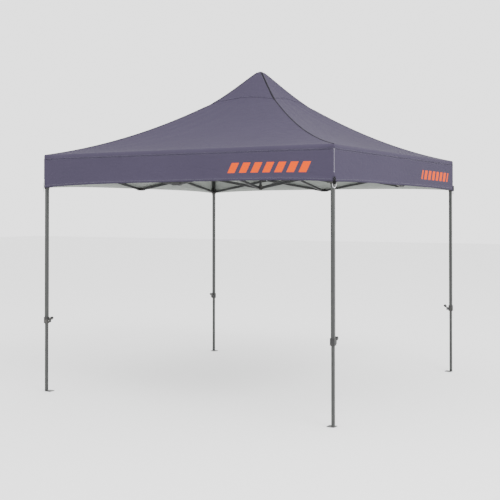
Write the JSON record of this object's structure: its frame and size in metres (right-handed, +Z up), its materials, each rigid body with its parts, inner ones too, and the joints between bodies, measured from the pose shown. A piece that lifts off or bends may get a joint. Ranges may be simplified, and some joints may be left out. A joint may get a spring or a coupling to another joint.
{
  "type": "folding canopy shelter",
  "caption": "Folding square canopy shelter: peaked cloth roof with a straight valance on four telescopic legs joined by a scissor truss.",
  "frame": {"origin": "on the ground, under the centre of the roof", "axes": "+Z up to the peak, +X and +Y square to two of the four equal sides"},
  "size_m": [3.0102, 3.0102, 3.072],
  "materials": {
    "leg_paint": "satin grey powder coat",
    "lower_leg_paint": "satin grey powder coat, dark foot plate",
    "truss_paint": "dark grey powder coat",
    "pole_paint": "dark grey powder coat",
    "bracket_plastic": "moulded black nylon",
    "lever_plastic": "moulded black nylon",
    "canopy_cloth": "woven slate polyester",
    "webbing": "black webbing",
    "ring_steel": "plated steel"
  },
  "bodies": {
    "upper_hub": {"upper_hub": "bracket_plastic", "canopy": "canopy_cloth", "corner_tabs": "webbing", "corner_rings": "ring_steel"},
    "upper_hub_bar_right": {"upper_hub_bar_right": "truss_paint"},
    "lower_hub_bar_right": {"lower_hub_bar_right": "truss_paint"},
    "lower_mid_bracket_right": {"lower_mid_bracket_right": "bracket_plastic"},
    "upper_mid_bracket_right": {"upper_mid_bracket_right": "bracket_plastic"},
    "rising_bar_right_a": {"rising_bar_right_a": "truss_paint"},
    "falling_bar_right_a": {"falling_bar_right_a": "truss_paint"},
    "rising_bar_right_b": {"rising_bar_right_b": "truss_paint"},
    "falling_bar_right_b": {"falling_bar_right_b": "truss_paint"},
    "upper_hub_bar_back": {"upper_hub_bar_back": "truss_paint"},
    "lower_hub_bar_back": {"lower_hub_bar_back": "truss_paint"},
    "lower_mid_bracket_back": {"lower_mid_bracket_back": "bracket_plastic"},
    "upper_mid_bracket_back": {"upper_mid_bracket_back": "bracket_plastic"},
    "rising_bar_back_a": {"rising_bar_back_a": "truss_paint"},
    "falling_bar_back_a": {"falling_bar_back_a": "truss_paint"},
    "rising_bar_back_b": {"rising_bar_back_b": "truss_paint"},
    "falling_bar_back_b": {"falling_bar_back_b": "truss_paint"},
    "upper_hub_bar_left": {"upper_hub_bar_left": "truss_paint"},
    "lower_hub_bar_left": {"lower_hub_bar_left": "truss_paint"},
    "lower_mid_bracket_left": {"lower_mid_bracket_left": "bracket_plastic"},
    "upper_mid_bracket_left": {"upper_mid_bracket_left": "bracket_plastic"},
    "rising_bar_left_a": {"rising_bar_left_a": "truss_paint"},
    "falling_bar_left_a": {"falling_bar_left_a": "truss_paint"},
    "rising_bar_left_b": {"rising_bar_left_b": "truss_paint"},
    "falling_bar_left_b": {"falling_bar_left_b": "truss_paint"},
    "upper_hub_bar_front": {"upper_hub_bar_front": "truss_paint"},
    "lower_hub_bar_front": {"lower_hub_bar_front": "truss_paint"},
    "lower_mid_bracket_front": {"lower_mid_bracket_front": "bracket_plastic"},
    "upper_mid_bracket_front": {"upper_mid_bracket_front": "bracket_plastic"},
    "rising_bar_front_a": {"rising_bar_front_a": "truss_paint"},
    "falling_bar_front_a": {"falling_bar_front_a": "truss_paint"},
    "rising_bar_front_b": {"rising_bar_front_b": "truss_paint"},
    "falling_bar_front_b": {"falling_bar_front_b": "truss_paint"},
    "lower_hub": {"lower_hub": "bracket_plastic"},
    "peak_pole": {"peak_pole": "pole_paint", "pole_cap": "bracket_plastic"},
    "leg_back_right": {"outer_leg_back_right": "leg_paint", "leg_fittings_back_right": "bracket_plastic"},
    "slider_back_right": {"slider_back_right": "bracket_plastic"},
    "lower_leg_back_right": {"lower_leg_back_right": "lower_leg_paint"},
    "lock_lever_back_right": {"lock_lever_back_right": "lever_plastic"},
    "leg_back_left": {"outer_leg_back_left": "leg_paint", "leg_fittings_back_left": "bracket_plastic"},
    "slider_back_left": {"slider_back_left": "bracket_plastic"},
    "lower_leg_back_left": {"lower_leg_back_left": "lower_leg_paint"},
    "lock_lever_back_left": {"lock_lever_back_left": "lever_plastic"},
    "leg_front_left": {"outer_leg_front_left": "leg_paint", "leg_fittings_front_left": "bracket_plastic"},
    "slider_front_left": {"slider_front_left": "bracket_plastic"},
    "lower_leg_front_left": {"lower_leg_front_left": "lower_leg_paint"},
    "lock_lever_front_left": {"lock_lever_front_left": "lever_plastic"},
    "leg_front_right": {"outer_leg_front_right": "leg_paint", "leg_fittings_front_right": "bracket_plastic"},
    "slider_front_right": {"slider_front_right": "bracket_plastic"},
    "lower_leg_front_right": {"lower_leg_front_right": "lower_leg_paint"},
    "lock_lever_front_right": {"lock_lever_front_right": "lever_plastic"}
  },
  "joints": [
    {"name": "truss_fold", "type": "hinge", "parent": "upper_hub", "child": "upper_hub_bar_right", "pos_m": [0.036, 0, 2.168], "axis": [0, 1, 0], "range_deg": [0, 73]},
    {"name": "hub_crossing_right", "type": "hinge", "parent": "upper_hub_bar_right", "child": "lower_hub_bar_right", "pos_m": [0.734, 0, 2.043], "axis": [0, 1, 0], "range_deg": [-146, 0]},
    {"name": "lower_mid_pivot_right", "type": "hinge", "parent": "upper_hub_bar_right", "child": "lower_mid_bracket_right", "pos_m": [1.432, 0, 1.918], "axis": [0, 1, 0], "range_deg": [-73, 0]},
    {"name": "upper_mid_pivot_right", "type": "hinge", "parent": "lower_hub_bar_right", "child": "upper_mid_bracket_right", "pos_m": [1.432, 0, 2.168], "axis": [0, 1, 0], "range_deg": [0, 73]},
    {"name": "rising_pivot_right_a", "type": "hinge", "parent": "lower_mid_bracket_right", "child": "rising_bar_right_a", "pos_m": [1.47, -0.032, 1.918], "axis": [1, 0, 0], "range_deg": [-73, 0]},
    {"name": "side_crossing_right_a", "type": "hinge", "parent": "rising_bar_right_a", "child": "falling_bar_right_a", "pos_m": [1.47, -0.73, 2.043], "axis": [1, 0, 0], "range_deg": [0, 146]},
    {"name": "rising_pivot_right_b", "type": "hinge", "parent": "lower_mid_bracket_right", "child": "rising_bar_right_b", "pos_m": [1.47, 0.032, 1.918], "axis": [1, 0, 0], "range_deg": [0, 73]},
    {"name": "side_crossing_right_b", "type": "hinge", "parent": "rising_bar_right_b", "child": "falling_bar_right_b", "pos_m": [1.47, 0.73, 2.043], "axis": [1, 0, 0], "range_deg": [-146, 0]},
    {"name": "hub_pivot_back", "type": "hinge", "parent": "upper_hub", "child": "upper_hub_bar_back", "pos_m": [0, 0.036, 2.168], "axis": [-1, 0, 0], "range_deg": [0, 73]},
    {"name": "hub_crossing_back", "type": "hinge", "parent": "upper_hub_bar_back", "child": "lower_hub_bar_back", "pos_m": [0, 0.734, 2.043], "axis": [-1, 0, 0], "range_deg": [-146, 0]},
    {"name": "lower_mid_pivot_back", "type": "hinge", "parent": "upper_hub_bar_back", "child": "lower_mid_bracket_back", "pos_m": [0, 1.432, 1.918], "axis": [-1, 0, 0], "range_deg": [-73, 0]},
    {"name": "upper_mid_pivot_back", "type": "hinge", "parent": "lower_hub_bar_back", "child": "upper_mid_bracket_back", "pos_m": [0, 1.432, 2.168], "axis": [-1, 0, 0], "range_deg": [0, 73]},
    {"name": "rising_pivot_back_a", "type": "hinge", "parent": "lower_mid_bracket_back", "child": "rising_bar_back_a", "pos_m": [0.032, 1.47, 1.918], "axis": [0, 1, 0], "range_deg": [-73, 0]},
    {"name": "side_crossing_back_a", "type": "hinge", "parent": "rising_bar_back_a", "child": "falling_bar_back_a", "pos_m": [0.73, 1.47, 2.043], "axis": [0, 1, 0], "range_deg": [0, 146]},
    {"name": "rising_pivot_back_b", "type": "hinge", "parent": "lower_mid_bracket_back", "child": "rising_bar_back_b", "pos_m": [-0.032, 1.47, 1.918], "axis": [0, 1, 0], "range_deg": [0, 73]},
    {"name": "side_crossing_back_b", "type": "hinge", "parent": "rising_bar_back_b", "child": "falling_bar_back_b", "pos_m": [-0.73, 1.47, 2.043], "axis": [0, 1, 0], "range_deg": [-146, 0]},
    {"name": "hub_pivot_left", "type": "hinge", "parent": "upper_hub", "child": "upper_hub_bar_left", "pos_m": [-0.036, 0, 2.168], "axis": [0, -1, 0], "range_deg": [0, 73]},
    {"name": "hub_crossing_left", "type": "hinge", "parent": "upper_hub_bar_left", "child": "lower_hub_bar_left", "pos_m": [-0.734, 0, 2.043], "axis": [0, -1, 0], "range_deg": [-146, 0]},
    {"name": "lower_mid_pivot_left", "type": "hinge", "parent": "upper_hub_bar_left", "child": "lower_mid_bracket_left", "pos_m": [-1.432, 0, 1.918], "axis": [0, -1, 0], "range_deg": [-73, 0]},
    {"name": "upper_mid_pivot_left", "type": "hinge", "parent": "lower_hub_bar_left", "child": "upper_mid_bracket_left", "pos_m": [-1.432, 0, 2.168], "axis": [0, -1, 0], "range_deg": [0, 73]},
    {"name": "rising_pivot_left_a", "type": "hinge", "parent": "lower_mid_bracket_left", "child": "rising_bar_left_a", "pos_m": [-1.47, 0.032, 1.918], "axis": [-1, 0, 0], "range_deg": [-73, 0]},
    {"name": "side_crossing_left_a", "type": "hinge", "parent": "rising_bar_left_a", "child": "falling_bar_left_a", "pos_m": [-1.47, 0.73, 2.043], "axis": [-1, 0, 0], "range_deg": [0, 146]},
    {"name": "rising_pivot_left_b", "type": "hinge", "parent": "lower_mid_bracket_left", "child": "rising_bar_left_b", "pos_m": [-1.47, -0.032, 1.918], "axis": [-1, 0, 0], "range_deg": [0, 73]},
    {"name": "side_crossing_left_b", "type": "hinge", "parent": "rising_bar_left_b", "child": "falling_bar_left_b", "pos_m": [-1.47, -0.73, 2.043], "axis": [-1, 0, 0], "range_deg": [-146, 0]},
    {"name": "hub_pivot_front", "type": "hinge", "parent": "upper_hub", "child": "upper_hub_bar_front", "pos_m": [0, -0.036, 2.168], "axis": [1, 0, 0], "range_deg": [0, 73]},
    {"name": "hub_crossing_front", "type": "hinge", "parent": "upper_hub_bar_front", "child": "lower_hub_bar_front", "pos_m": [0, -0.734, 2.043], "axis": [1, 0, 0], "range_deg": [-146, 0]},
    {"name": "lower_mid_pivot_front", "type": "hinge", "parent": "upper_hub_bar_front", "child": "lower_mid_bracket_front", "pos_m": [0, -1.432, 1.918], "axis": [1, 0, 0], "range_deg": [-73, 0]},
    {"name": "upper_mid_pivot_front", "type": "hinge", "parent": "lower_hub_bar_front", "child": "upper_mid_bracket_front", "pos_m": [0, -1.432, 2.168], "axis": [1, 0, 0], "range_deg": [0, 73]},
    {"name": "rising_pivot_front_a", "type": "hinge", "parent": "lower_mid_bracket_front", "child": "rising_bar_front_a", "pos_m": [-0.032, -1.47, 1.918], "axis": [0, -1, 0], "range_deg": [-73, 0]},
    {"name": "side_crossing_front_a", "type": "hinge", "parent": "rising_bar_front_a", "child": "falling_bar_front_a", "pos_m": [-0.73, -1.47, 2.043], "axis": [0, -1, 0], "range_deg": [0, 146]},
    {"name": "rising_pivot_front_b", "type": "hinge", "parent": "lower_mid_bracket_front", "child": "rising_bar_front_b", "pos_m": [0.032, -1.47, 1.918], "axis": [0, -1, 0], "range_deg": [0, 73]},
    {"name": "side_crossing_front_b", "type": "hinge", "parent": "rising_bar_front_b", "child": "falling_bar_front_b", "pos_m": [0.73, -1.47, 2.043], "axis": [0, -1, 0], "range_deg": [-146, 0]},
    {"name": "lower_hub_pivot", "type": "hinge", "parent": "lower_hub_bar_right", "child": "lower_hub", "pos_m": [0.036, 0, 1.918], "axis": [0, 1, 0], "range_deg": [0, 73]},
    {"name": "pole_slide", "type": "slide", "parent": "upper_hub", "child": "peak_pole", "axis": [0, 0, -1], "range_m": [0, 0.78]},
    {"name": "leg_pivot_back_right", "type": "hinge", "parent": "rising_bar_right_b", "child": "leg_back_right", "pos_m": [1.47, 1.428, 2.168], "axis": [1, 0, 0], "range_deg": [-73, 0]},
    {"name": "slider_pivot_back_right", "type": "hinge", "parent": "falling_bar_right_b", "child": "slider_back_right", "pos_m": [1.47, 1.428, 1.918], "axis": [1, 0, 0], "range_deg": [0, 73]},
    {"name": "leg_slide_back_right", "type": "slide", "parent": "leg_back_right", "child": "lower_leg_back_right", "axis": [0, 0, 1], "range_m": [0, 0.6]},
    {"name": "lock_lever_turn_back_right", "type": "hinge", "parent": "leg_back_right", "child": "lock_lever_back_right", "pos_m": [1.435, 1.47, 0.66], "axis": [0, 1, 0], "range_deg": [-20, 0], "stiffness_Nm_per_rad": 0.6, "springref_deg": 8},
    {"name": "leg_pivot_back_left", "type": "hinge", "parent": "rising_bar_back_b", "child": "leg_back_left", "pos_m": [-1.428, 1.47, 2.168], "axis": [0, 1, 0], "range_deg": [-73, 0]},
    {"name": "slider_pivot_back_left", "type": "hinge", "parent": "falling_bar_back_b", "child": "slider_back_left", "pos_m": [-1.428, 1.47, 1.918], "axis": [0, 1, 0], "range_deg": [0, 73]},
    {"name": "leg_slide_back_left", "type": "slide", "parent": "leg_back_left", "child": "lower_leg_back_left", "axis": [0, 0, 1], "range_m": [0, 0.6]},
    {"name": "lock_lever_turn_back_left", "type": "hinge", "parent": "leg_back_left", "child": "lock_lever_back_left", "pos_m": [-1.47, 1.435, 0.66], "axis": [-1, 0, 0], "range_deg": [-20, 0], "stiffness_Nm_per_rad": 0.6, "springref_deg": 8},
    {"name": "leg_pivot_front_left", "type": "hinge", "parent": "rising_bar_left_b", "child": "leg_front_left", "pos_m": [-1.47, -1.428, 2.168], "axis": [-1, 0, 0], "range_deg": [-73, 0]},
    {"name": "slider_pivot_front_left", "type": "hinge", "parent": "falling_bar_left_b", "child": "slider_front_left", "pos_m": [-1.47, -1.428, 1.918], "axis": [-1, 0, 0], "range_deg": [0, 73]},
    {"name": "leg_slide_front_left", "type": "slide", "parent": "leg_front_left", "child": "lower_leg_front_left", "axis": [0, 0, 1], "range_m": [0, 0.6]},
    {"name": "lock_lever_turn_front_left", "type": "hinge", "parent": "leg_front_left", "child": "lock_lever_front_left", "pos_m": [-1.435, -1.47, 0.66], "axis": [0, -1, 0], "range_deg": [-20, 0], "stiffness_Nm_per_rad": 0.6, "springref_deg": 8},
    {"name": "leg_pivot_front_right", "type": "hinge", "parent": "rising_bar_front_b", "child": "leg_front_right", "pos_m": [1.428, -1.47, 2.168], "axis": [0, -1, 0], "range_deg": [-73, 0]},
    {"name": "slider_pivot_front_right", "type": "hinge", "parent": "falling_bar_front_b", "child": "slider_front_right", "pos_m": [1.428, -1.47, 1.918], "axis": [0, -1, 0], "range_deg": [0, 73]},
    {"name": "leg_slide_front_right", "type": "slide", "parent": "leg_front_right", "child": "lower_leg_front_right", "axis": [0, 0, 1], "range_m": [0, 0.6]},
    {"name": "lock_lever_turn_front_right", "type": "hinge", "parent": "leg_front_right", "child": "lock_lever_front_right", "pos_m": [1.47, -1.435, 0.66], "axis": [1, 0, 0], "range_deg": [-20, 0], "stiffness_Nm_per_rad": 0.6, "springref_deg": 8}
  ],
  "couplings": [
    {"joint": "hub_crossing_right", "follows": "truss_fold", "ratio": -2},
    {"joint": "lower_mid_pivot_right", "follows": "truss_fold", "ratio": -1},
    {"joint": "upper_mid_pivot_right", "follows": "truss_fold", "ratio": 1},
    {"joint": "rising_pivot_right_a", "follows": "truss_fold", "ratio": -1},
    {"joint": "side_crossing_right_a", "follows": "truss_fold", "ratio": 2},
    {"joint": "rising_pivot_right_b", "follows": "truss_fold", "ratio": 1},
    {"joint": "side_crossing_right_b", "follows": "truss_fold", "ratio": -2},
    {"joint": "hub_pivot_back", "follows": "truss_fold", "ratio": 1},
    {"joint": "hub_crossing_back", "follows": "truss_fold", "ratio": -2},
    {"joint": "lower_mid_pivot_back", "follows": "truss_fold", "ratio": -1},
    {"joint": "upper_mid_pivot_back", "follows": "truss_fold", "ratio": 1},
    {"joint": "rising_pivot_back_a", "follows": "truss_fold", "ratio": -1},
    {"joint": "side_crossing_back_a", "follows": "truss_fold", "ratio": 2},
    {"joint": "rising_pivot_back_b", "follows": "truss_fold", "ratio": 1},
    {"joint": "side_crossing_back_b", "follows": "truss_fold", "ratio": -2},
    {"joint": "hub_pivot_left", "follows": "truss_fold", "ratio": 1},
    {"joint": "hub_crossing_left", "follows": "truss_fold", "ratio": -2},
    {"joint": "lower_mid_pivot_left", "follows": "truss_fold", "ratio": -1},
    {"joint": "upper_mid_pivot_left", "follows": "truss_fold", "ratio": 1},
    {"joint": "rising_pivot_left_a", "follows": "truss_fold", "ratio": -1},
    {"joint": "side_crossing_left_a", "follows": "truss_fold", "ratio": 2},
    {"joint": "rising_pivot_left_b", "follows": "truss_fold", "ratio": 1},
    {"joint": "side_crossing_left_b", "follows": "truss_fold", "ratio": -2},
    {"joint": "hub_pivot_front", "follows": "truss_fold", "ratio": 1},
    {"joint": "hub_crossing_front", "follows": "truss_fold", "ratio": -2},
    {"joint": "lower_mid_pivot_front", "follows": "truss_fold", "ratio": -1},
    {"joint": "upper_mid_pivot_front", "follows": "truss_fold", "ratio": 1},
    {"joint": "rising_pivot_front_a", "follows": "truss_fold", "ratio": -1},
    {"joint": "side_crossing_front_a", "follows": "truss_fold", "ratio": 2},
    {"joint": "rising_pivot_front_b", "follows": "truss_fold", "ratio": 1},
    {"joint": "side_crossing_front_b", "follows": "truss_fold", "ratio": -2},
    {"joint": "lower_hub_pivot", "follows": "truss_fold", "ratio": 1},
    {"joint": "pole_slide", "follows": "truss_fold", "m_per_rad": 0.6122},
    {"joint": "leg_pivot_back_right", "follows": "truss_fold", "ratio": -1},
    {"joint": "slider_pivot_back_right", "follows": "truss_fold", "ratio": 1},
    {"joint": "leg_pivot_back_left", "follows": "truss_fold", "ratio": -1},
    {"joint": "slider_pivot_back_left", "follows": "truss_fold", "ratio": 1},
    {"joint": "leg_pivot_front_left", "follows": "truss_fold", "ratio": -1},
    {"joint": "slider_pivot_front_left", "follows": "truss_fold", "ratio": 1},
    {"joint": "leg_pivot_front_right", "follows": "truss_fold", "ratio": -1},
    {"joint": "slider_pivot_front_right", "follows": "truss_fold", "ratio": 1}
  ]
}
